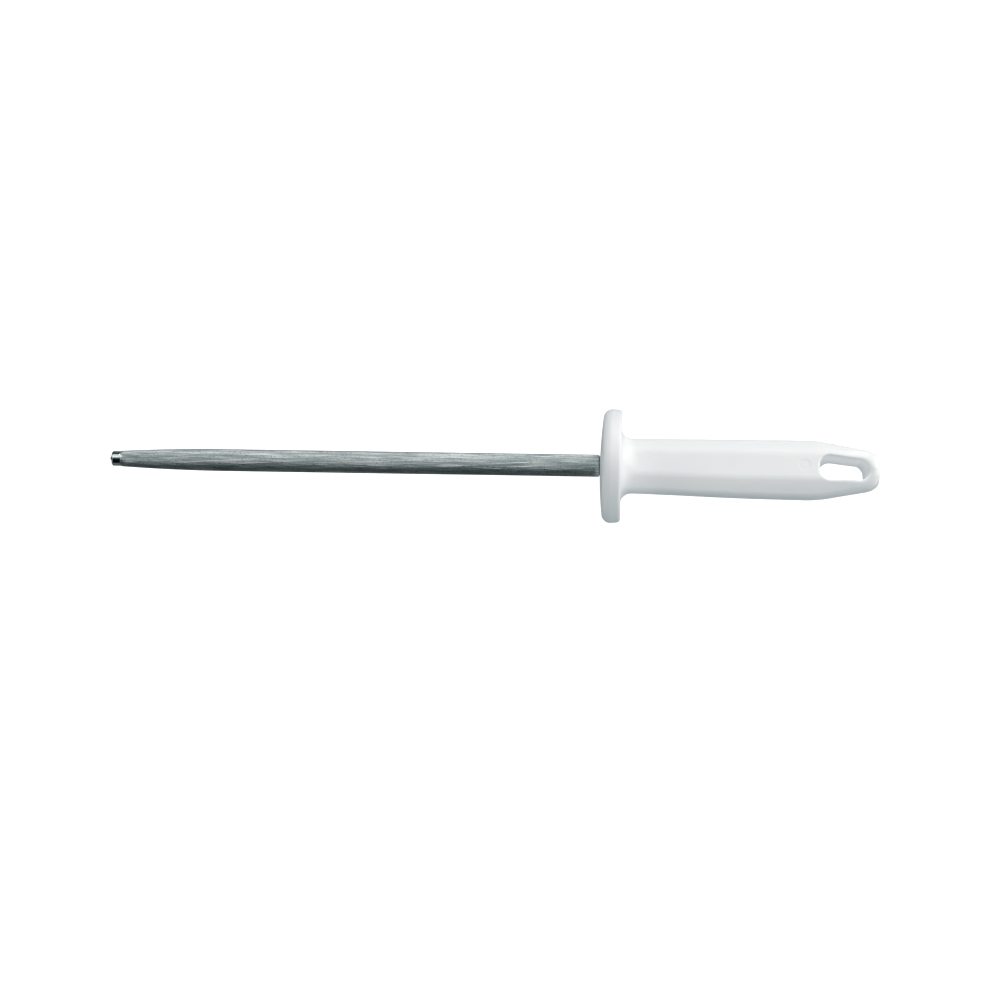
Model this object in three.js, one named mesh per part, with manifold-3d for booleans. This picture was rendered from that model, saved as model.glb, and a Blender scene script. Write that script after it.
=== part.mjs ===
// A butcher's sharpening steel: a tapered steel bar with a tang, and a plastic handle moulded round it.
// Millimetres. X runs along the bar from its tip to the butt of the handle, and Z is up.
// The hanging slot runs along Z, through the two flat sides of the grip.
import * as THREE from "three";
import { mergeVertices } from "three/addons/utils/BufferGeometryUtils.js";
import Module from "manifold-3d";

const wasm = await Module();
wasm.setup();

// Driving dimensions. Along X, 0 is where the bar enters the guard.
const WORKING_LENGTH = 254; // from the tip's point to the guard
const HANDLE_LENGTH = 144.4; // from the guard's front to the butt
const GAP = 0.3; // between the steel and the plastic round it

const bar = {
  radius: 5.65, // over the flutes
  tipRadius: 3.88, // the polished end
  tipLength: 5.55, // with its point
  pointRadius: 1.5,
  pointLength: 1,
  tipEdge: 0.8, // chamfer round the end face
  shoulderRadius: 4.05, // where the flutes begin
  taperLength: 56, // the front that narrows to the shoulder
  rootEdge: 0.3, // chamfer where the full diameter ends, just clear of the guard
  neckRadius: 5,
  neckLength: 8, // inside the guard
};

const tang = {
  radius: 4,
  end: 80, // how far into the handle it reaches
  flat: 3.2, // from the axis to each of the two flats
  grooveDepth: 1,
  grooveLength: 3,
  grooves: [24, 42, 60], // where each ring groove begins
};

const guard = {
  radius: 29.5,
  thickness: 11.1,
  dome: 1.4, // how far the front bulges
  edgeAlong: 3.6, // the rounded front edge, along X
  edgeAcross: 4.3, // and across it
  rearEdge: 1.35, // radius of the rear edge
};

// The grip's cross-section is an octagon with soft corners, taller along Y than it is thick along Z.
const grip = {
  front: 26, // where the palm's straight taper begins
  back: 111.8, // where it ends and the tail begins
  height: [14.17, 15.37], // half the section's height at front and back
  thickness: [8.27, 9.2], // half its thickness
  bevel: 0.57, // share of the half height that the sloping faces take
  edge: 0.55, // half the height of the narrow faces, as a share of the half thickness
  drop: 0.9, // how far the back lies below the bar's axis
  fillet: 5.6, // radius of the blend into the guard
  edgeRadius: 2.6, // rounding beside the narrow faces
  sideRadius: 4.2, // rounding beside the flat sides
};

const tail = {
  height: 9.24, // half the section's height at the butt, before its corners are rounded
  cornerRadius: 6.5, // of the outline's corners at the butt
  faceRadius: 3.6, // of the edge between the butt and the flat sides
};

const slot = {
  front: 113.4,
  back: 137.4,
  slant: 0.18, // how far the back wall leans towards the butt for each millimetre up
  frontTop: 6.15, // Y of the top and bottom edges at each end
  frontBottom: -7.84,
  backTop: 3.03,
  backBottom: -7.03,
  frontRadius: 5.9,
  backRadius: 4.4,
};

const gateMark = { x: 105.5, y: -0.42, radius: 2.9, depth: 0.4 };

const steel = new THREE.MeshStandardMaterial({ color: 0x8f9798, roughness: 0.38, metalness: 1 });
const plastic = new THREE.MeshStandardMaterial({ color: 0xe9ebea, roughness: 0.42, metalness: 0 });

const lerp = THREE.MathUtils.lerp;

// A closed geometry as a manifold-3d solid.
function solid(geometry) {
  const bare = geometry.clone();
  bare.deleteAttribute("normal");
  bare.deleteAttribute("uv");
  const merged = mergeVertices(bare, 1e-4);
  return new wasm.Manifold(
    new wasm.Mesh({
      numProp: 3,
      vertProperties: new Float32Array(merged.attributes.position.array),
      triVerts: new Uint32Array(merged.index.array),
    }),
  );
}

// A manifold-3d solid as a geometry.
function geometryOf(made) {
  const mesh = made.getMesh();
  const geometry = new THREE.BufferGeometry();
  geometry.setAttribute("position", new THREE.BufferAttribute(mesh.vertProperties, 3));
  geometry.setIndex(new THREE.BufferAttribute(mesh.triVerts, 1));
  geometry.computeVertexNormals();
  return geometry;
}

// A solid of revolution about X from [x, radius] pairs in rising x, which start and end on the axis.
function turned(profile, segments = 32) {
  const points = profile.map(([x, r]) => new THREE.Vector2(r, x));
  const geometry = new THREE.LatheGeometry(points, segments);
  geometry.rotateZ(-Math.PI / 2);
  return solid(geometry);
}

// The tang's profile, from the neck to its end, grown by a clearance.
function tangProfile(clear) {
  const points = [[bar.neckLength + clear, tang.radius + clear]];
  for (const start of tang.grooves) {
    const end = start + tang.grooveLength;
    const floor = tang.radius - tang.grooveDepth + clear;
    points.push([start + clear, tang.radius + clear]);
    points.push([start + clear, floor]);
    points.push([end - clear, floor]);
    points.push([end - clear, tang.radius + clear]);
  }
  points.push([tang.end + clear, tang.radius + clear], [tang.end + clear, 0]);
  return points;
}

// A block whose top and bottom are the tang's two flats, longer than the tang at both ends.
function betweenFlats(clear) {
  const block = new THREE.BoxGeometry(4 * tang.end, 4 * tang.radius, 2 * (tang.flat + clear));
  return solid(block);
}

// The steel inside the handle, grown by a clearance: the neck, then the flatted and grooved tang.
function shank(start, clear) {
  const neckEnd = bar.neckLength + clear;
  const neckRadius = bar.neckRadius + clear;
  const neck = turned([[start, 0], [start, neckRadius], [neckEnd, neckRadius], [neckEnd, 0]]);
  const root = [[start, 0], [start, tang.flat], [neckEnd, tang.flat]];
  const grooved = turned([...root, ...tangProfile(clear)]);
  return grooved.intersect(betweenFlats(clear)).add(neck);
}

function makeBar() {
  const tipX = -WORKING_LENGTH;
  const faceX = tipX + bar.pointLength;
  const shoulderX = tipX + bar.tipLength;
  const profile = [
    [tipX, 0],
    [faceX, bar.pointRadius],
    [faceX, bar.tipRadius - bar.tipEdge],
    [faceX + bar.tipEdge, bar.tipRadius],
    [shoulderX, bar.tipRadius],
  ];
  const steps = 8;
  for (let i = 0; i <= steps; i++) {
    const share = i / steps;
    const radius = bar.radius - (bar.radius - bar.shoulderRadius) * (1 - share) ** 2;
    profile.push([shoulderX + share * bar.taperLength, radius]);
  }
  const rootX = -bar.rootEdge;
  profile.push([rootX - bar.rootEdge, bar.radius], [rootX, bar.radius - bar.rootEdge], [rootX, 0]);
  return turned(profile).add(shank(2 * rootX, 0));
}

function makeGuard() {
  const domeEdge = guard.radius - guard.edgeAcross;
  const profile = [[0, 0]];
  for (const share of [0.3, 0.6, 0.8, 1]) {
    profile.push([guard.dome * share ** 2, domeEdge * share]);
  }
  const edgeSteps = 5;
  for (let i = 1; i <= edgeSteps; i++) {
    const turn = ((i / edgeSteps) * Math.PI) / 2;
    const x = guard.dome + guard.edgeAlong * (1 - Math.cos(turn));
    profile.push([x, domeEdge + guard.edgeAcross * Math.sin(turn)]);
  }
  for (const turn of [0, Math.PI / 6, Math.PI / 3, Math.PI / 2]) {
    const x = guard.thickness - guard.rearEdge * (1 - Math.sin(turn));
    profile.push([x, guard.radius - guard.rearEdge * (1 - Math.cos(turn))]);
  }
  profile.push([guard.thickness, 0]);
  return turned(profile, 64);
}

// The soft octagon at one place along the grip, as [y, z] points. grow moves every face outwards.
function section({ height, thickness, middle }, grow) {
  const slope = Math.atan2(height * grip.bevel, thickness * (1 - grip.edge));
  const soft = Math.min(1, height / tail.height); // the corners shrink where the butt is rounded off
  const edge = { y: height, z: thickness * grip.edge, from: 0, to: slope };
  const side = { y: height * (1 - grip.bevel), z: thickness, from: slope, to: Math.PI / 2 };
  const corners = [
    { ...edge, radius: grip.edgeRadius * soft, steps: 3 },
    { ...side, radius: grip.sideRadius * soft, steps: 2 },
  ];
  const quarter = [];
  for (const corner of corners) {
    const half = (corner.to - corner.from) / 2;
    const middleTurn = corner.from + half;
    const inward = corner.radius / Math.cos(half);
    const y = corner.y - inward * Math.cos(middleTurn);
    const z = corner.z - inward * Math.sin(middleTurn);
    for (let i = 0; i <= corner.steps; i++) {
      const turn = corner.from + (2 * half * i) / corner.steps;
      const reach = corner.radius + grow;
      quarter.push([y + reach * Math.cos(turn), z + reach * Math.sin(turn)]);
    }
  }
  const back = [...quarter].reverse();
  const ring = [
    ...quarter,
    ...back.map(([y, z]) => [-y, z]),
    ...quarter.map(([y, z]) => [-y, -z]),
    ...back.map(([y, z]) => [y, -z]),
  ];
  return ring.map(([y, z]) => [y + middle, z]);
}

// The grip's sizes at x, before the butt's corners are rounded.
function sizesAt(x) {
  const palm = THREE.MathUtils.clamp((x - grip.front) / (grip.back - grip.front), 0, 1);
  const behind = THREE.MathUtils.clamp((x - grip.back) / (HANDLE_LENGTH - grip.back), 0, 1);
  return {
    height: lerp(lerp(...grip.height, palm), tail.height, behind),
    thickness: lerp(...grip.thickness, palm),
    middle: -grip.drop * palm,
  };
}

// How much a corner of the given radius has taken off at a distance from the face it runs into.
function rounding(radius, distance) {
  const left = Math.max(radius - distance, 0);
  return radius - Math.sqrt(radius ** 2 - left ** 2);
}

// A closed solid through rings of [x, y, z] points, each ring with the same number of points.
// The first point of a ring and its last are mirror images, and so on inwards, which the ends use.
function loft(rings) {
  const count = rings[0].length;
  const last = rings.length - 1;
  const index = [];
  for (let i = 0; i < last; i++) {
    for (let j = 0; j < count; j++) {
      const a = i * count + j;
      const b = i * count + ((j + 1) % count);
      index.push(a, b, a + count, b, b + count, a + count);
    }
  }
  for (let j = 0; j < count / 2 - 1; j++) {
    const across = [j, j + 1, count - 2 - j, count - 1 - j]; // a strip straight across the end
    const [a, b, c, d] = across.map((k) => last * count + k);
    index.push(a, b, c, a, c, d);
    index.push(across[0], across[2], across[1], across[0], across[3], across[2]);
  }
  const geometry = new THREE.BufferGeometry();
  geometry.setAttribute("position", new THREE.Float32BufferAttribute(rings.flat(2), 3));
  geometry.setIndex(index);
  return solid(geometry);
}

function makeGrip() {
  const rings = [];
  const ring = (x, sizes, grow) => rings.push(section(sizes, grow).map(([y, z]) => [x, y, z]));
  const filletSteps = 6;
  ring(guard.thickness - 1, sizesAt(guard.thickness), grip.fillet);
  for (let i = 0; i <= filletSteps; i++) {
    const turn = ((i / filletSteps) * Math.PI) / 2;
    const x = guard.thickness + grip.fillet * (1 - Math.cos(turn));
    ring(x, sizesAt(x), grip.fillet * (1 - Math.sin(turn)));
  }
  ring(grip.front, sizesAt(grip.front), 0);
  ring(grip.back, sizesAt(grip.back), 0);
  for (const share of [1, 0.7, 0.45, 0.25, 0.1, 0]) {
    const distance = share * tail.cornerRadius;
    const x = HANDLE_LENGTH - distance;
    const sizes = sizesAt(x);
    sizes.height -= rounding(tail.cornerRadius, distance);
    sizes.thickness -= rounding(tail.faceRadius, distance);
    ring(x, sizes, 0);
  }
  return loft(rings);
}

// The slot's outline: four straight edges joined by arcs.
function slotOutline() {
  const corners = [
    { x: slot.front, y: slot.frontBottom, radius: slot.frontRadius },
    { x: slot.back, y: slot.backBottom, radius: slot.backRadius },
    { x: slot.back, y: slot.backTop, radius: slot.backRadius },
    { x: slot.front, y: slot.frontTop, radius: slot.frontRadius },
  ];
  const outline = new THREE.Shape();
  const towards = (here, there) => new THREE.Vector2(there.x - here.x, there.y - here.y).normalize();
  corners.forEach((corner, i) => {
    const back = towards(corner, corners[(i + 3) % 4]);
    const on = towards(corner, corners[(i + 1) % 4]);
    const half = Math.acos(back.dot(on)) / 2;
    const centre = back.clone().add(on).normalize();
    centre.multiplyScalar(corner.radius / Math.sin(half)).add(corner);
    const reach = corner.radius / Math.tan(half);
    const start = back.multiplyScalar(reach).add(corner).sub(centre);
    const end = on.multiplyScalar(reach).add(corner).sub(centre);
    outline.absarc(centre.x, centre.y, corner.radius, start.angle(), end.angle(), false);
  });
  return outline;
}

function slotCutter() {
  const depth = 4 * grip.thickness[1];
  const cutter = new THREE.ExtrudeGeometry(slotOutline(), { depth, bevelEnabled: false, curveSegments: 8 });
  cutter.translate(0, 0, -depth / 2);
  const points = cutter.attributes.position;
  for (let i = 0; i < points.count; i++) {
    if (points.getX(i) > (slot.front + slot.back) / 2) {
      points.setX(i, points.getX(i) + slot.slant * points.getZ(i));
    }
  }
  return solid(cutter);
}

function gateMarkCutter() {
  const height = 2;
  const cutter = new THREE.CylinderGeometry(gateMark.radius, gateMark.radius, height, 24);
  cutter.rotateX(Math.PI / 2);
  const surface = sizesAt(gateMark.x).thickness;
  cutter.translate(gateMark.x, gateMark.y, surface - gateMark.depth + height / 2);
  return solid(cutter);
}

function makeHandle() {
  return makeGuard()
    .add(makeGrip())
    .subtract(slotCutter())
    .subtract(gateMarkCutter())
    .subtract(shank(-GAP, GAP));
}

function piece(name, made, material) {
  const mesh = new THREE.Mesh(geometryOf(made), material);
  mesh.name = name;
  return mesh;
}

// The steel lies with the middle of its whole length at the origin.
const sharpeningSteel = new THREE.Group();
sharpeningSteel.add(piece("steel_bar", makeBar(), steel));
sharpeningSteel.add(piece("handle", makeHandle(), plastic));
sharpeningSteel.position.x = (WORKING_LENGTH - HANDLE_LENGTH) / 2;

export default sharpeningSteel;
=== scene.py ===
import math

import bpy
import numpy as np
from mathutils import Matrix, Vector


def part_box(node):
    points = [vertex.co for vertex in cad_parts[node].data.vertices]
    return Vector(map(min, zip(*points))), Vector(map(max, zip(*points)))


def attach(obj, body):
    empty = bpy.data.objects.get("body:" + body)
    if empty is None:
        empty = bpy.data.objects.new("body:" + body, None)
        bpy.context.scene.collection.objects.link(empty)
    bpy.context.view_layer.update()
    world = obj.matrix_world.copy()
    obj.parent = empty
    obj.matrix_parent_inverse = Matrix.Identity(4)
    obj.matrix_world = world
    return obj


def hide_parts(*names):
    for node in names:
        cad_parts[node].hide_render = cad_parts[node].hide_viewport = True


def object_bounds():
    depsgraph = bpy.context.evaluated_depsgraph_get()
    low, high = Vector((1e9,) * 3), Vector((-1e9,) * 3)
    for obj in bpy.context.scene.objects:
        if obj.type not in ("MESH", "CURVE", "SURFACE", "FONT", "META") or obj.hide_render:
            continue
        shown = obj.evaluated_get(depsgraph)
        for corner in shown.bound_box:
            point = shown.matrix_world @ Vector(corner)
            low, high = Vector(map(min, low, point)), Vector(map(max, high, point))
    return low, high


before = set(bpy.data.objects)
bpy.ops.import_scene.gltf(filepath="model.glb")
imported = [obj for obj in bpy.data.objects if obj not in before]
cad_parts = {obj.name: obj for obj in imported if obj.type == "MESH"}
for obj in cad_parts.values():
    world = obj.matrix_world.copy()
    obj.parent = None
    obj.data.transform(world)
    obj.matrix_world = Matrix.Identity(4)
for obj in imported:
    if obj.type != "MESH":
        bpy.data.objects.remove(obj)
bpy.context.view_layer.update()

MM = 0.001

# The frame gives the places. Along X, the shapes below count millimetres from the guard's front.
BAR_LOW, BAR_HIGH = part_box("steel_bar")
HANDLE_LOW, HANDLE_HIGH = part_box("handle")
WORKING_LENGTH = 254.0
ROOT = BAR_LOW.x + WORKING_LENGTH * MM
HANDLE_LENGTH = (HANDLE_HIGH.x - ROOT) / MM
GUARD_RADIUS = HANDLE_HIGH.z / MM
ROD_RADIUS = 5.75
TANG_END = (BAR_HIGH.x - ROOT) / MM

# The guard and the grip.
GUARD_THICKNESS = 11.1
GUARD_DOME = 1.4
GUARD_FRONT_EDGE = 4.1
GUARD_REAR_EDGE = 1.35
GUARD_WANE = 0.0146  # the rim draws in towards the grip
GUARD_LEAN = 0.0105  # the handle sits a little askew on the rod
PALM_FRONT, PALM_BACK = 26.0, 111.8
PALM_TOP = (14.2, 14.4)  # from the rod's axis to the grip's edge, at the palm's front and back
PALM_BOTTOM = (14.2, 16.22)
PALM_BELLY = 0.35  # how far the bottom edge bows out half-way along the palm
TAIL_TOP, TAIL_BOTTOM = 8.34, 10.14
THICKNESS = (8.27, 9.2)  # half, at the palm's front and back
BEVEL = 0.57  # each sloping face's share of the grip's half depth
EDGE = 0.49  # the upright side's share of its half thickness
CROWN = 0.3  # how far the middle of each sloping face stands out
RIDGE_RADIUS, RIDGE_GAIN = 0.55, 3.1  # round the flat sides, and what it gains towards the butt
SIDE_RADIUS = 1.5
BUTT_RADIUS, BUTT_GAIN = 3.8, 3.1  # round the butt, and what it gains at the sloping faces
FILLET, FILLET_GAIN = 5.6, 3.4  # behind the guard, and what it gains over the flat sides

# The hanging slot and the gate mark.
SLOT_FRONT, SLOT_BACK = 113.4, 137.4
SLOT_SLANT = 0.18  # the back wall leans towards the butt on the way up
SLOT_TOP = (6.1, 2.95)
SLOT_BOTTOM = (7.84, 7.03)
SLOT_FRONT_RADIUS, SLOT_BACK_RADIUS = 5.9, 4.4
SLOT_EDGE, SLOT_EDGE_GAIN = 1.2, 1.3  # round its rim, and what it gains near the butt
# strength of the painted glow, the emission that lightens the slot's walls
SLOT_PAINTED_GLOW = 0.085
GATE = (105.5, -0.42)
GATE_RADIUS, GATE_DEPTH = 2.9, 0.045

# The steel inside the handle.
CLEARANCE = 0.3
NECK_RADIUS, NECK_LENGTH = 5.0, 8.0
TANG_RADIUS, TANG_FLAT = 4.0, 3.2
GROOVES, GROOVE_LENGTH, GROOVE_DEPTH = (24.0, 42.0, 60.0), 3.0, 1.0

# The front of the rod.
TIP_RADIUS, TIP_LENGTH = 3.88, 5.55
POINT_RADIUS, POINT_LENGTH = 1.5, 1.0
SHOULDER_RADIUS, TAPER_LENGTH = 4.05, 56.0
FLUTES, FLUTE_STEPS, FLUTE_DEPTH = 52, 7, 0.15

# The camera.
CAMERA_TILT, CAMERA_ROLL = math.radians(16), math.radians(0.875)
CAMERA_DISTANCE, CAMERA_LENS = 2.4, 168.38
CAMERA_OVER = 10.05  # millimetres behind the guard's front
AIM_LEFT, AIM_BELOW = 0.06352, 0.01644


# ---------------------------------------------------------------- shapes as distance functions

def overlap(a, b, radius):
    """Distance to the part that two shapes share, with a rounded edge where they cross."""
    near = np.maximum(a, b) + radius
    corner = np.hypot(np.maximum(a + radius, 0), np.maximum(b + radius, 0))
    return np.minimum(near, 0) + corner - radius


def joined(a, b, radius):
    """Distance to two shapes together, with a fillet where they meet."""
    return -overlap(-a, -b, radius)


def lesser(a, b, width):
    """The smaller of two numbers, easing from one to the other where they are close."""
    mixed = np.maximum(width - np.abs(a - b), 0) / width
    return np.minimum(a, b) - mixed**2 * width / 4


def along(x, start, end, values):
    """A straight run from one value at start to another at end, carried on past both."""
    return values[0] + (values[1] - values[0]) * (x - start) / (end - start)


def grip_sizes(x):
    """The grip's top edge, bottom edge and half thickness at x."""
    bow = np.maximum(1 - ((x - 71) / 42) ** 2, 0) ** 2 * PALM_BELLY
    top = lesser(
        along(x, PALM_FRONT, PALM_BACK, PALM_TOP),
        along(x, PALM_BACK, HANDLE_LENGTH, (PALM_TOP[1], TAIL_TOP)), 0.5)
    bottom = lesser(
        along(x, PALM_FRONT, PALM_BACK, PALM_BOTTOM) + bow,
        along(x, PALM_BACK, HANDLE_LENGTH, (PALM_BOTTOM[1], TAIL_BOTTOM)), 1.4)
    thick = np.clip(along(x, PALM_FRONT, PALM_BACK, THICKNESS), *THICKNESS)
    return top, bottom, thick


def grip(x, y, z):
    """An octagon with soft corners and slightly crowned sloping faces, rounded off at the butt."""
    top, bottom, thick = grip_sizes(x)
    height = (top + bottom) / 2
    across = np.abs(y - (top - bottom) / 2)
    deep = np.abs(z)
    rise, run = thick * (1 - EDGE), height * BEVEL
    width = np.hypot(rise, run)
    slope = (across * rise + deep * run - height * (1 - BEVEL) * rise - thick * run) / width
    side = ((across - height + run / 2) * run - (deep - thick + rise / 2) * rise) / width
    slope = slope - CROWN * (1 - np.clip(2 * side / width, -1.5, 1.5) ** 2)
    ridge = RIDGE_RADIUS + RIDGE_GAIN * np.clip((x - 118) / 18, 0, 1)
    ring = overlap(overlap(deep - thick, slope, ridge), across - height, SIDE_RADIUS)
    spread = np.clip((across / height - 1 + BEVEL) / BEVEL, 0, 1)
    whole = overlap(ring, x - HANDLE_LENGTH, BUTT_RADIUS + BUTT_GAIN * spread)
    return np.maximum(whole, GUARD_THICKNESS - 1 - x)


def guard(x, y, z):
    """A disc with a domed front, well rounded in front and less so behind."""
    radius = np.hypot(y, z)
    x = x - GUARD_LEAN * y
    front = GUARD_DOME * (radius / (GUARD_RADIUS - GUARD_FRONT_EDGE)) ** 2 - x
    rim = radius - GUARD_RADIUS + GUARD_WANE * np.maximum(x - 5, 0) ** 2
    disc = overlap(front, rim, GUARD_FRONT_EDGE)
    return overlap(disc, x - GUARD_THICKNESS, GUARD_REAR_EDGE)


def slot(x, y, z):
    """The hanging slot: its back wall leans, the others stand straight."""
    top = y - along(x, SLOT_FRONT, SLOT_BACK, SLOT_TOP)
    bottom = -y - along(x, SLOT_FRONT, SLOT_BACK, SLOT_BOTTOM)
    hole = overlap(np.maximum(top, bottom), SLOT_FRONT - x, SLOT_FRONT_RADIUS)
    return overlap(hole, x - SLOT_BACK - SLOT_SLANT * z, SLOT_BACK_RADIUS)


def bore(x, y, z):
    """The room for the neck and the tang, with ribs that fill the tang's grooves."""
    radius = np.hypot(y, z)
    neck = np.maximum(radius - NECK_RADIUS - CLEARANCE, x - NECK_LENGTH - CLEARANCE)
    tang = np.maximum(radius - TANG_RADIUS - CLEARANCE, np.abs(z) - TANG_FLAT - CLEARANCE)
    for start in GROOVES:
        rib = GROOVE_LENGTH / 2 - CLEARANCE - np.abs(x - start - GROOVE_LENGTH / 2)
        inner = radius - TANG_RADIUS + GROOVE_DEPTH - CLEARANCE
        tang = np.maximum(tang, np.minimum(inner, rib))
    return np.minimum(neck, np.maximum(tang, x - TANG_END - CLEARANCE))


def gate_mark(x, y, z):
    """A shallow round recess, a little deeper on one side."""
    thick = grip_sizes(x)[2]
    across, up = x - GATE[0], y - GATE[1]
    ring = np.hypot(across, up) - GATE_RADIUS
    floor = thick - GATE_DEPTH * (1 + 0.6 * (across + up) / GATE_RADIUS)
    return overlap(ring, floor - z, 0.1)


def handle(x, y, z):
    """The whole moulding."""
    flat = z**2 / (y**2 + z**2 + 1)
    body = joined(guard(x, y, z), grip(x, y, z), FILLET + FILLET_GAIN * flat)
    near_butt = np.clip((x - 128) / 10, 0, 1) * np.clip(z / 9, 0, 1)
    edge = SLOT_EDGE + near_butt * SLOT_EDGE_GAIN
    body = overlap(body, -slot(x, y, z), edge)
    body = overlap(body, -gate_mark(x, y, z), 0.3)
    return overlap(body, -bore(x, y, z), 0.3)


# ---------------------------------------------------------------- meshes

def settle(points, shape, rounds):
    """Moves points onto the surface where shape is zero."""
    nudge = 0.02
    for _ in range(rounds):
        x, y, z = points.T
        value = shape(x, y, z)
        slope = np.stack([
            shape(x + nudge, y, z) - shape(x - nudge, y, z),
            shape(x, y + nudge, z) - shape(x, y - nudge, z),
            shape(x, y, z + nudge) - shape(x, y, z - nudge)]) / (2 * nudge)
        step = value / np.maximum((slope**2).sum(0), 0.25)
        points = points - (slope * np.clip(step, -0.5, 0.5)).T
    return points


def surface(shape, low, high, cell):
    """Quads over the surface where shape is zero: one point in each grid cell that it crosses."""
    axes = [np.arange(a, b + cell, cell) for a, b in zip(low, high)]
    inside = shape(*np.meshgrid(*axes, indexing="ij", sparse=True)) < 0
    nx, ny, nz = (len(axis) - 1 for axis in axes)
    corners = np.zeros((nx, ny, nz), np.int8)
    for i in (0, 1):
        for j in (0, 1):
            for k in (0, 1):
                corners += inside[i:nx + i, j:ny + j, k:nz + k]
    crossed = (corners > 0) & (corners < 8)
    number = np.full(crossed.shape, -1)
    number[crossed] = np.arange(crossed.sum())
    points = np.array(low) + (np.argwhere(crossed) + 0.5) * cell
    faces = []
    for axis in range(3):
        order = (axis, (axis + 1) % 3, (axis + 2) % 3)
        state, cells = inside.transpose(order), number.transpose(order)
        leaves = state[:-1, 1:-1, 1:-1] != state[1:, 1:-1, 1:-1]
        i, j, k = np.nonzero(leaves)
        quads = np.stack([cells[i, j, k], cells[i, j + 1, k], cells[i, j + 1, k + 1], cells[i, j, k + 1]], 1)
        outwards = state[i, j + 1, k + 1]
        faces += [quads[outwards], quads[~outwards][:, ::-1]]
    return points, np.concatenate(faces)


def evened(points, faces, shape, rounds):
    """Spreads the points evenly over the surface, so that light runs over it smoothly."""
    ends = np.concatenate([faces[:, [i, (i + 1) % 4]] for i in range(4)])
    count = np.bincount(ends[:, 0], minlength=len(points))
    for _ in range(rounds):
        total = [np.bincount(ends[:, 0], points[ends[:, 1], axis], len(points)) for axis in range(3)]
        points = settle((points + np.stack(total, 1) / count[:, None]) / 2, shape, 1)
    return settle(points, shape, 2)


def add_piece(name, points, faces, material, node):
    """A smooth mesh from points in millimetres, which rides on the root and stands for a CAD node."""
    mesh = bpy.data.meshes.new(name)
    placed = np.asarray(points) * MM + (ROOT, 0, 0)
    mesh.from_pydata(placed.tolist(), [], [list(map(int, face)) for face in faces])
    mesh.materials.append(material)
    mesh.shade_smooth()
    made = bpy.data.objects.new(name, mesh)
    bpy.context.scene.collection.objects.link(made)
    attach(made, "root")
    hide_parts(node)


def make_handle(material):
    low = (-1.0, -GUARD_RADIUS - 1, -GUARD_RADIUS - 1)
    high = (HANDLE_LENGTH + 1, GUARD_RADIUS + 1, GUARD_RADIUS + 1)
    points, faces = surface(handle, low, high, 0.52)
    points = evened(settle(points, handle, 4), faces, handle, 4)
    add_piece("handle_moulding", points, faces, material, "handle")


# ---------------------------------------------------------------- the steel

def wrapped(rings, front, back):
    """Points and faces for a closed turned shape: rings of points, and a middle point for each end."""
    count = len(rings[0])
    points = np.concatenate([np.asarray(rings).reshape(-1, 3), [front, back]])
    row, column = np.meshgrid(np.arange(len(rings) - 1), np.arange(count), indexing="ij")
    here, there = row * count + column, row * count + (column + 1) % count
    quads = np.stack([here, here + count, there + count, there], -1).reshape(-1, 4).tolist()
    first, last = len(points) - 2, len(points) - 1
    end = (len(rings) - 1) * count
    fans = []
    for i in range(count):
        j = (i + 1) % count
        fans += [(first, i, j), (last, end + j, end + i)]
    return points, quads + fans


def circle(x, radii, turns):
    """A ring of points round the rod's axis."""
    return np.stack([np.full(len(turns), x), radii * np.cos(turns), radii * np.sin(turns)], 1)


def wander(x, lane, seed):
    """A number between -1 and 1 that drifts slowly along x, on its own in each lane."""
    total = np.zeros(np.broadcast(x, lane).shape)
    for step, length in enumerate((9.0, 17.0, 38.0)):
        start = np.sin(lane * (12.9898 + step) + seed * 78.233) * 43758.5453
        total = total + np.sin(x / length * 2 * math.pi + (start - np.floor(start)) * 2 * math.pi)
    return total / 3


def rod_radius(x):
    """The rod's radius over its flutes, x millimetres from where they begin."""
    share = np.clip(x / TAPER_LENGTH, 0, 1)
    return ROD_RADIUS - (ROD_RADIUS - SHOULDER_RADIUS) * (1 - share) ** 2


def make_rod(material):
    """The fluted length with its neck and tang, down to the tang's end inside the grip."""
    count = FLUTES * FLUTE_STEPS
    turns = np.arange(count) / count * 2 * math.pi
    lane = np.repeat(np.arange(FLUTES), FLUTE_STEPS)
    wave = (1 - np.cos(np.tile(np.arange(FLUTE_STEPS) / FLUTE_STEPS, FLUTES) * 2 * math.pi)) / 2
    start, end = -WORKING_LENGTH + TIP_LENGTH + 0.02, -0.3
    rings = [circle(start, np.full(count, SHOULDER_RADIUS - 0.35), turns)]
    front = start + np.array([0.25, 0.6, 1.0, 1.6, 2.4])
    for x in np.concatenate([front, np.linspace(start + 4, end - 0.3, 118)]):
        run_out = np.clip((x - start) / 2.4, 0, 1) * np.clip((end - x) / 1.2, 0.3, 1)
        depth = FLUTE_DEPTH * run_out * (1 + 0.5 * wander(x, lane, 1))
        rings.append(circle(x, rod_radius(x - start) - depth * wave, turns))
    rings.append(circle(end, np.full(count, ROD_RADIUS - 0.3), turns))
    rings.append(circle(end + 0.03, np.full(count, NECK_RADIUS), turns))
    rings.append(circle(NECK_LENGTH, np.full(count, NECK_RADIUS), turns))
    flat = TANG_FLAT / np.maximum(np.abs(np.sin(turns)), 0.01)
    tang = [(NECK_LENGTH + 0.05, TANG_RADIUS)]
    for groove in GROOVES:
        for x, depth in ((0, 0), (0.05, 1), (GROOVE_LENGTH - 0.05, 1), (GROOVE_LENGTH, 0)):
            tang.append((groove + x, TANG_RADIUS - depth * GROOVE_DEPTH))
    tang += [(TANG_END - 0.5, TANG_RADIUS), (TANG_END, TANG_RADIUS - 0.5)]
    for x, radius in tang:
        rings.append(circle(x, np.minimum(radius, flat), turns))
    points, faces = wrapped(rings, (start, 0, 0), (TANG_END, 0, 0))
    add_piece("fluted_rod", points, faces, material, "steel_bar")


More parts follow.
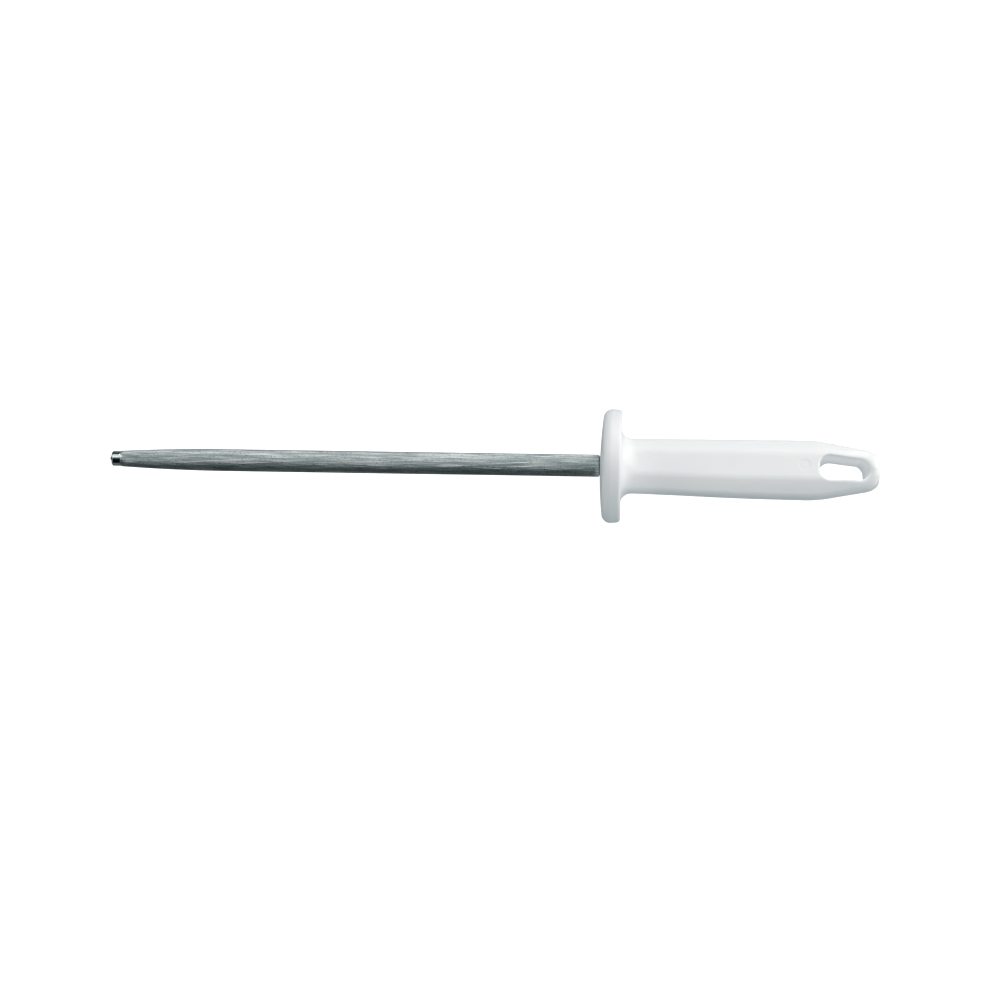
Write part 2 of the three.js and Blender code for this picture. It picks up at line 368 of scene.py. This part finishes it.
def make_tip(material):
    """The polished end, with its short centre point, chamfer and faint shoulder."""
    tip, face = -WORKING_LENGTH, -WORKING_LENGTH + POINT_LENGTH
    end = -WORKING_LENGTH + TIP_LENGTH
    profile = [
        (tip + 0.1, 0.25), (face - 0.12, POINT_RADIUS - 0.15), (face - 0.02, POINT_RADIUS + 0.02),
        (face, POINT_RADIUS + 0.2), (face, TIP_RADIUS - 0.95), (face + 0.05, TIP_RADIUS - 0.82),
        (face + 0.72, TIP_RADIUS - 0.1), (face + 0.86, TIP_RADIUS - 0.02), (face + 1.05, TIP_RADIUS),
        (end - 0.35, TIP_RADIUS), (end - 0.12, TIP_RADIUS - 0.03), (end - 0.03, TIP_RADIUS - 0.14),
        (end, TIP_RADIUS - 0.35)]
    turns = np.arange(128) / 128 * 2 * math.pi
    rings = [circle(x, np.full(128, radius), turns) for x, radius in profile]
    points, faces = wrapped(rings, (tip, 0, 0), (end, 0, 0))
    add_piece("polished_tip", points, faces, material, "steel_bar")


# ---------------------------------------------------------------- materials

class Nodes:
    """Short calls for building one material's node tree."""

    def __init__(self, name):
        self.material = bpy.data.materials.new(name)
        self.material.use_nodes = True
        self.tree = self.material.node_tree
        self.shader = self.tree.nodes["Principled BSDF"]
        self.place = self.add("ShaderNodeTexCoord").outputs["Object"]

    def add(self, kind, **settings):
        node = self.tree.nodes.new(kind)
        for name, value in settings.items():
            setattr(node, name, value)
        return node

    def feed(self, socket, value):
        if isinstance(value, bpy.types.NodeSocket):
            self.tree.links.new(value, socket)
        else:
            socket.default_value = value

    def math(self, kind, a, b=0.0, clamp=False):
        node = self.add("ShaderNodeMath", operation=kind, use_clamp=clamp)
        self.feed(node.inputs[0], a)
        self.feed(node.inputs[1], b)
        return node.outputs[0]

    def ramp(self, value, low, high, start=0.0, end=1.0):
        node = self.add("ShaderNodeMapRange", interpolation_type="SMOOTHSTEP")
        for socket, number in zip(node.inputs, (value, low, high, start, end)):
            self.feed(socket, number)
        return node.outputs[0]

    def noise(self, scale, detail=2.0, roughness=0.5, stretch=(1, 1, 1), seed=0.0):
        moved = self.add("ShaderNodeMapping")
        self.feed(moved.inputs["Vector"], self.place)
        moved.inputs["Scale"].default_value = stretch
        moved.inputs["Location"].default_value = (seed, seed * 0.7, seed * 1.3)
        node = self.add("ShaderNodeTexNoise")
        self.feed(node.inputs["Vector"], moved.outputs[0])
        for name, number in (("Scale", scale), ("Detail", detail), ("Roughness", roughness)):
            node.inputs[name].default_value = number
        return node.outputs["Fac"]

    def mix(self, share, a, b):
        node = self.add("ShaderNodeMix", data_type="RGBA")
        for socket, value in zip((node.inputs[0], node.inputs[6], node.inputs[7]), (share, a, b)):
            self.feed(socket, value)
        return node.outputs[2]

    def bump(self, height, strength, distance, normal=None):
        node = self.add("ShaderNodeBump")
        self.feed(node.inputs["Height"], height)
        node.inputs["Strength"].default_value = strength
        node.inputs["Distance"].default_value = distance
        if normal:
            self.feed(node.inputs["Normal"], normal)
        return node.outputs[0]

    def finish(self, **values):
        for name, value in values.items():
            self.feed(self.shader.inputs[name.replace("_", " ")], value)
        return self.material


def white_plastic():
    """Moulded polypropylene: a fine soft grain, slight wear, and a faint parting line round the edges.

    The slot's walls carry a painted glow: a little emission that stands in for the light that comes through
    the thin plastic beside them.
    """
    n = Nodes("white_plastic")
    grain = n.noise(1400, 3.0, 0.6)
    flow = n.noise(45, 3.0, 0.5, (0.4, 1, 1), 3)
    scuff = n.ramp(n.noise(260, 4.0, 0.65, (0.25, 1, 1), 7), 0.6, 0.72)
    colour = n.mix(n.ramp(flow, 0.35, 0.65), (0.775, 0.782, 0.782, 1), (0.80, 0.805, 0.80, 1))
    colour = n.mix(n.math("MULTIPLY", scuff, 0.12), colour, (0.66, 0.67, 0.67, 1))
    rough = n.math("ADD", n.ramp(grain, 0.3, 0.7, 0.36, 0.46), n.math("MULTIPLY", scuff, 0.1))
    split = n.add("ShaderNodeSeparateXYZ")
    n.feed(split.inputs[0], n.place)
    seam = n.ramp(n.math("ABSOLUTE", split.outputs[2]), 0.00006, 0.00016, 1, 0)
    height = n.math("ADD", grain, n.math("MULTIPLY", seam, 2.0))
    normal = n.bump(height, 0.25, 0.00006)
    normal = n.bump(flow, 0.2, 0.0004, normal)
    # painted glow: a box round the hanging slot where the plastic is given emission, to lighten the slot's
    # walls
    middle = ROOT + (SLOT_FRONT + SLOT_BACK) / 2 * MM
    lit = n.ramp(n.math("ABSOLUTE", n.math("SUBTRACT", split.outputs[0], middle)), 0.0125, 0.0135, 1, 0)
    for socket, start, end in ((1, 0.0075, 0.0085), (2, 0.0055, 0.0085)):
        near = n.ramp(n.math("ABSOLUTE", split.outputs[socket]), start, end, 1, 0)
        lit = n.math("MULTIPLY", lit, near)
    return n.finish(
        Base_Color=colour, Roughness=rough, Normal=normal, Specular_IOR_Level=0.42,
        Emission_Color=(0.94, 0.98, 1, 1), Emission_Strength=n.math("MULTIPLY", lit, SLOT_PAINTED_GLOW))


def fluted_steel():
    """Hardened steel, drawn into fine flutes that stroking knives has rubbed unevenly along the rod."""
    n = Nodes("fluted_steel")
    fine = n.noise(2600, 0.0, 0.5, (0.024, 1, 1), 1)
    streak = n.noise(1500, 1.0, 0.5, (0.016, 1, 1), 3)
    patch = n.noise(170, 2.0, 0.5, (0.2, 1, 1), 5)
    speck = n.noise(2400, 1.0, 0.5, (0.5, 1, 1), 9)
    tone = n.math("ADD", n.math("MULTIPLY", fine, 0.42), n.math("MULTIPLY", streak, 0.42))
    tone = n.math("ADD", tone, n.math("MULTIPLY", patch, 0.16))
    colour = n.mix(n.ramp(tone, 0.38, 0.62), (0.43, 0.51, 0.51, 1), (0.97, 1.0, 1.0, 1))
    colour = n.mix(n.ramp(speck, 0.53, 0.75, 0, 0.7), colour, (0.10, 0.125, 0.125, 1))
    rough = n.ramp(tone, 0.38, 0.62, 0.50, 0.34)
    normal = n.bump(streak, 0.4, 0.00008)
    normal = n.bump(fine, 0.4, 0.00005, normal)
    return n.finish(Base_Color=colour, Metallic=1.0, Roughness=rough, Normal=normal)


def polished_steel():
    """The bright tip, with fine turning marks round it."""
    n = Nodes("polished_steel")
    marks = n.noise(2600, 2.0, 0.5, (1, 0.04, 0.04), 2)
    haze = n.noise(700, 3.0, 0.6, (1, 1, 1), 4)
    colour = n.mix(n.ramp(haze, 0.4, 0.7), (0.80, 0.82, 0.83, 1), (0.70, 0.725, 0.735, 1))
    rough = n.ramp(haze, 0.35, 0.7, 0.06, 0.13)
    normal = n.bump(marks, 0.12, 0.00001)
    return n.finish(Base_Color=colour, Metallic=1.0, Roughness=rough, Normal=normal)


# ---------------------------------------------------------------- camera, floor and light

def add_camera():
    """Above the steel and a little in front, aimed left of the guard."""
    towards = Vector((0, -math.sin(CAMERA_TILT), math.cos(CAMERA_TILT)))
    upward = Vector((0, math.cos(CAMERA_TILT), math.sin(CAMERA_TILT)))
    centre = Vector((ROOT + CAMERA_OVER * MM, 0, 0))
    eye = centre + towards * CAMERA_DISTANCE
    aim = centre - Vector((AIM_LEFT, 0, 0)) - upward * AIM_BELOW
    forward = (aim - eye).normalized()
    right = forward.cross(upward).normalized()
    up = right.cross(forward)
    level = right * math.cos(CAMERA_ROLL) + up * math.sin(CAMERA_ROLL)
    upright = up * math.cos(CAMERA_ROLL) - right * math.sin(CAMERA_ROLL)
    data = bpy.data.cameras.new("camera")
    data.sensor_width = 36
    data.lens = CAMERA_LENS
    camera = bpy.data.objects.new("camera", data)
    bpy.context.scene.collection.objects.link(camera)
    camera.location = eye
    camera.rotation_euler = Matrix((level, upright, -forward)).transposed().to_euler()
    bpy.context.scene.camera = camera


def add_card(name, size, colour, centre, facing=(0, 0, 1), glow=0.0):
    """A flat sheet of the given width and depth, with its middle at centre and its front along facing."""
    half, deep = size[0] / 2, size[1] / 2
    mesh = bpy.data.meshes.new(name)
    corners = [(-half, -deep, 0), (half, -deep, 0), (half, deep, 0), (-half, deep, 0)]
    turn = Vector(facing).to_track_quat("Z", "Y")
    mesh.from_pydata([turn @ Vector(corner) + Vector(centre) for corner in corners], [], [(0, 1, 2, 3)])
    n = Nodes(name)
    tone = n.mix(n.noise(6), colour, tuple(min(1, c * 1.03) for c in colour[:3]) + (1,))
    mesh.materials.append(n.finish(
        Base_Color=tone, Roughness=0.9, Specular_IOR_Level=0,
        Emission_Color=(1, 1, 1, 1), Emission_Strength=glow))
    card = bpy.data.objects.new(name, mesh)
    bpy.context.scene.collection.objects.link(card)
    return card


def only_seen(card, camera=False, diffuse=False, glossy=False):
    """Limits a card to being seen by the camera, or lighting matt surfaces, or showing in shiny ones."""
    card.visible_camera, card.visible_diffuse, card.visible_glossy = camera, diffuse, glossy
    card.visible_shadow = card.visible_transmission = card.visible_volume_scatter = False


def add_light(name, direction, distance, size, power, mirrored=True, colour=(1, 1, 1)):
    """A soft box in the given direction from the steel, facing it, with its long side level."""
    data = bpy.data.lights.new(name, "AREA")
    data.shape = "RECTANGLE"
    data.size, data.size_y = size
    data.energy = power
    data.color = colour
    light = bpy.data.objects.new(name, data)
    bpy.context.scene.collection.objects.link(light)
    away = Vector(direction).normalized()
    across = Vector((0, 1, 0)) if abs(away.x) > 0.95 else Vector((1, 0, 0))
    across = (across - away * across.dot(away)).normalized()
    light.location = away * distance
    light.rotation_euler = Matrix((across, away.cross(across), away)).transposed().to_euler()
    light.visible_camera = False
    light.visible_glossy = mirrored


def add_stage():
    """A pale floor that only the camera sees, sheets that only matt or shiny surfaces see, and soft boxes.

    The boxes over and behind the steel show in the polished tip. The flags darken it in between.
    """
    scene = bpy.context.scene
    scene.view_settings.view_transform = "Standard"
    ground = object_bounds()[0].z
    pale, grey, dark = (0.95, 0.95, 0.95, 1), (0.58, 0.68, 0.70, 1), (0.004, 0.006, 0.006, 1)
    only_seen(add_card("floor", (8, 8), pale, (0, 0, ground - 0.0003), glow=0.86), camera=True)
    only_seen(add_card("table", (3, 3), grey, (0, 0, ground - 0.0001)), diffuse=True)
    only_seen(add_card("table_sheen", (3, 3), (0.22, 0.25, 0.26, 1), (0, 0, ground - 0.0002)), glossy=True)
    only_seen(add_card("front_flag", (4, 1.6), dark, (0, -1.04, 0.61), (0, 0.86, -0.51)), glossy=True)
    only_seen(add_card("back_flag", (4, 0.34), dark, (0, 1.16, 0.59), (0, -0.89, -0.45)), glossy=True)
    world = bpy.data.worlds.new("studio")
    world.use_nodes = True
    world.node_tree.nodes["Background"].inputs["Color"].default_value = (0.3, 0.95, 1, 1)
    world.node_tree.nodes["Background"].inputs["Strength"].default_value = 0.07
    scene.world = world
    warm = (1, 0.94, 0.94)
    add_light("overhead", (0, 0.45, 0.9), 1.3, (2.6, 1.2), 8.1)
    add_light("overhead_front", (0, 0.08, 1), 1.32, (2.6, 0.6), 1.1)
    add_light("butt_high", (0.8, 0.4, 0.6), 1.3, (0.8, 0.8), 1.6, True, warm)
    add_light("butt_low", (1, 0.1, 0.15), 1.1, (0.8, 0.5), 4.8, True, warm)
    add_light("back", (0.45, 0.87, 0.5), 1.3, (1.6, 0.5), 9.4, True, warm)
    add_light("front", (0.2, -0.7, 0.7), 1.2, (1.6, 0.5), 6.0, False, (1, 0.97, 1))
    add_light("tip_side", (-1, 0.3, 0.5), 1.2, (0.8, 0.8), 4.3, True, warm)


add_camera()
make_handle(white_plastic())
make_rod(fluted_steel())
make_tip(polished_steel())
add_stage()
